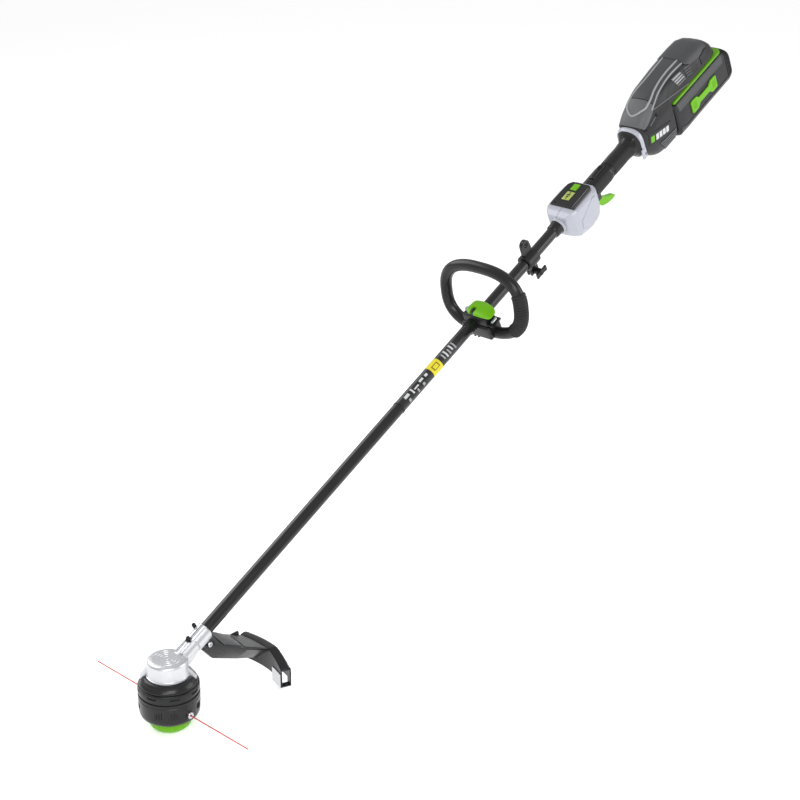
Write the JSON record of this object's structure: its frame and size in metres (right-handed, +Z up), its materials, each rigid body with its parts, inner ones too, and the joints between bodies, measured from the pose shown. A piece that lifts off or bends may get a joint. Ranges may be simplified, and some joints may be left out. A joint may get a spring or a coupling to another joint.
{
  "type": "cordless string trimmer",
  "caption": "Battery string trimmer with a direct-drive bump head, straight shaft, loop front handle, trigger grip and slide-in battery at the rear.",
  "frame": {"origin": "centre of the flat bottom face of the bump knob, on the spin axis of the cutting head", "axes": "+Z up along the spin axis, +X towards the rear of the tool in the plane of the shaft, which rises 27 degrees towards +X, +Y to the right hand of the operator"},
  "size_m": [1.8244, 0.4366, 1.0337],
  "materials": {
    "black_nylon": "moulded, fine texture",
    "black_rubber": "matt rubber",
    "dark_grey_nylon": "moulded, fine texture",
    "silver_plastic": "metallic grey, satin",
    "green_plastic": "satin moulded",
    "cast_aluminium": "die cast, tumbled",
    "anodised_tube": "black anodised, satin",
    "steel": "satin steel",
    "copper_winding": "varnished copper",
    "orange_line": "extruded nylon",
    "circuit_board": "solder resist",
    "display_window": "glossy lens"
  },
  "bodies": {
    "machine_frame": {"motor_housing": "cast_aluminium", "base_shroud": "black_nylon", "motor_stator": "copper_winding", "upper_bearing": "steel", "lower_bearing": "steel", "neck_screw_upper": "black_nylon", "neck_screw_lower": "black_nylon", "guard_bolt": "steel", "shaft_tube": "anodised_tube", "power_cable": "black_rubber", "guard_shield": "black_nylon", "line_cutter_blade": "steel", "pod_collar": "black_nylon", "pod_shell_left": "silver_plastic", "pod_shell_right": "silver_plastic", "pod_top_panel": "dark_grey_nylon", "display_window": "display_window", "pod_circuit_board": "circuit_board", "trigger_pin": "steel", "trigger_switch": "black_nylon", "lock_off_pin": "steel", "rear_handle_left": "black_nylon", "rear_handle_right": "black_nylon", "rear_collar": "silver_plastic", "housing_left": "dark_grey_nylon", "housing_right": "dark_grey_nylon", "dock_plate": "black_nylon", "dock_terminals": "copper_winding", "controller_board": "circuit_board", "heat_sink": "cast_aluminium"},
    "cutting_head": {"motor_rotor": "steel", "head_upper_housing": "black_nylon", "head_lower_housing": "black_nylon", "eyelet_near": "steel", "eyelet_far": "steel", "cutting_line_near": "orange_line", "cutting_line_far": "orange_line", "bump_spring": "steel"},
    "bump_carrier": {"spring_cup": "steel"},
    "spool_and_knob": {"line_spool": "dark_grey_nylon", "wound_line": "orange_line", "bump_knob": "green_plastic"},
    "front_handle": {"loop_handle": "black_nylon", "loop_clamp_cap": "black_nylon", "loop_grip": "black_rubber", "clamp_stud_left": "steel", "clamp_stud_right": "steel"},
    "quick_lever": {"clamp_lever": "green_plastic"},
    "hanger": {"harness_clamp": "black_nylon"},
    "hanger_knob": {"wing_knob": "black_nylon"},
    "throttle_trigger": {"trigger": "green_plastic"},
    "lock_off": {"lock_off_lever": "dark_grey_nylon"},
    "start_button": {"power_button": "green_plastic"},
    "battery": {"battery_case": "dark_grey_nylon", "battery_strip": "green_plastic", "battery_rail": "black_nylon", "battery_cells": "black_nylon"},
    "latch_left": {"battery_latch_left": "green_plastic"},
    "latch_right": {"battery_latch_right": "green_plastic"}
  },
  "joints": [
    {"name": "head_spin", "type": "hinge", "parent": "machine_frame", "child": "cutting_head", "pos_m": [0, 0, 0.05], "axis": [0, 0, 1], "continuous": true},
    {"name": "bump_press", "type": "slide", "parent": "cutting_head", "child": "bump_carrier", "axis": [0, 0, 1], "range_m": [0, 0.006], "stiffness_N_per_m": 1500, "springref_m": -0.006, "deforming": ["bump_spring"]},
    {"name": "spool_spin", "type": "hinge", "parent": "bump_carrier", "child": "spool_and_knob", "pos_m": [0, 0, 0.02], "axis": [0, 0, 1], "continuous": true},
    {"name": "front_handle_slide", "type": "slide", "parent": "machine_frame", "child": "front_handle", "axis": [0.891, 0, 0.454], "range_m": [-0.05, 0.08]},
    {"name": "quick_lever_hinge", "type": "hinge", "parent": "front_handle", "child": "quick_lever", "pos_m": [0.86246, -0.01, 0.58918], "axis": [0, -1, 0], "range_deg": [0, 80]},
    {"name": "hanger_slide", "type": "slide", "parent": "machine_frame", "child": "hanger", "axis": [0.891, 0, 0.454], "range_m": [-0.03, 0.05]},
    {"name": "hanger_knob_turn", "type": "hinge", "parent": "hanger", "child": "hanger_knob", "pos_m": [1.07214, 0, 0.62531], "axis": [0, 1, 0], "continuous": true},
    {"name": "trigger_pull", "type": "hinge", "parent": "machine_frame", "child": "throttle_trigger", "pos_m": [1.28773, 0, 0.73965], "axis": [0, -1, 0], "range_deg": [0, 14], "stiffness_Nm_per_rad": 0.08, "springref_deg": -22.92},
    {"name": "lock_off_press", "type": "hinge", "parent": "machine_frame", "child": "lock_off", "pos_m": [1.27853, 0, 0.78412], "axis": [0, 1, 0], "range_deg": [0, 5], "stiffness_Nm_per_rad": 0.05, "springref_deg": -22.92},
    {"name": "start_press", "type": "slide", "parent": "machine_frame", "child": "start_button", "axis": [0.454, 0, -0.891], "range_m": [0, 0.0011], "stiffness_N_per_m": 800, "springref_m": -0.0006},
    {"name": "battery_slide", "type": "slide", "parent": "machine_frame", "child": "battery", "axis": [0.891, 0, 0.454], "range_m": [0, 0.2]},
    {"name": "latch_left_press", "type": "slide", "parent": "battery", "child": "latch_left", "axis": [0, 1, 0], "range_m": [0, 0.0025], "stiffness_N_per_m": 1200, "springref_m": -0.001},
    {"name": "latch_right_press", "type": "slide", "parent": "battery", "child": "latch_right", "axis": [0, -1, 0], "range_m": [0, 0.0025], "stiffness_N_per_m": 1200, "springref_m": -0.001}
  ]
}
